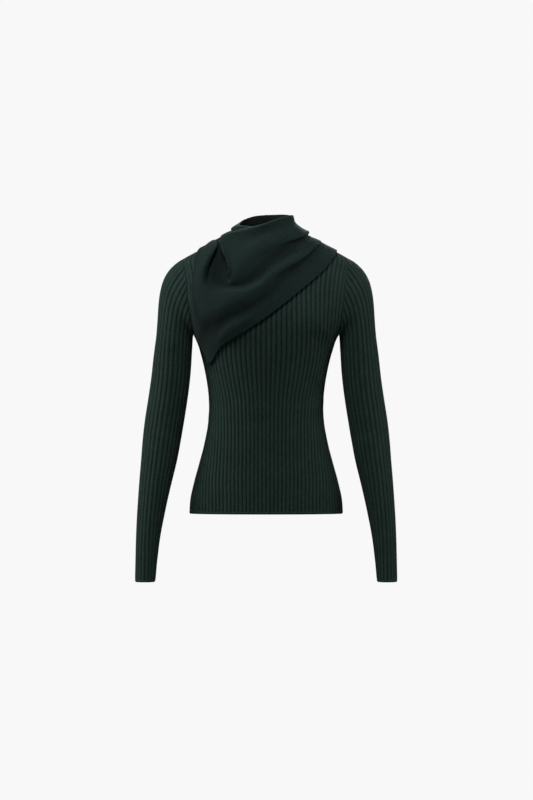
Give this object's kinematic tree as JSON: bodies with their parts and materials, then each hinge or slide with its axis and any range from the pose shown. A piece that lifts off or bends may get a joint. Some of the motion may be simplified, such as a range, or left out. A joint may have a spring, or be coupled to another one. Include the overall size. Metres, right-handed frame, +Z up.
{
  "type": "ribbed knit top with scarf collar",
  "caption": "Slim long-sleeved rib-knit top with set-in sleeves, a standing neckband and a plain draped scarf collar whose point falls on one side of the chest, held open as worn.",
  "frame": {"origin": "middle of the neck base, level with the top of the shoulder seams, where the wearer's neck and shoulders hold the top up", "axes": "+Z up along the neck, the front faces -Y, +X towards the wearer's left sleeve"},
  "size_m": [0.5224, 0.2319, 0.7336],
  "materials": {
    "rib_knit": "dull dark green wool rib",
    "jersey": "dull dark green fine plain knit"
  },
  "bodies": {
    "root": {"front": "rib_knit", "back": "rib_knit", "sleeve_left": "rib_knit", "sleeve_right": "rib_knit", "neckband": "jersey", "scarf": "jersey"}
  },
  "joints": []
}
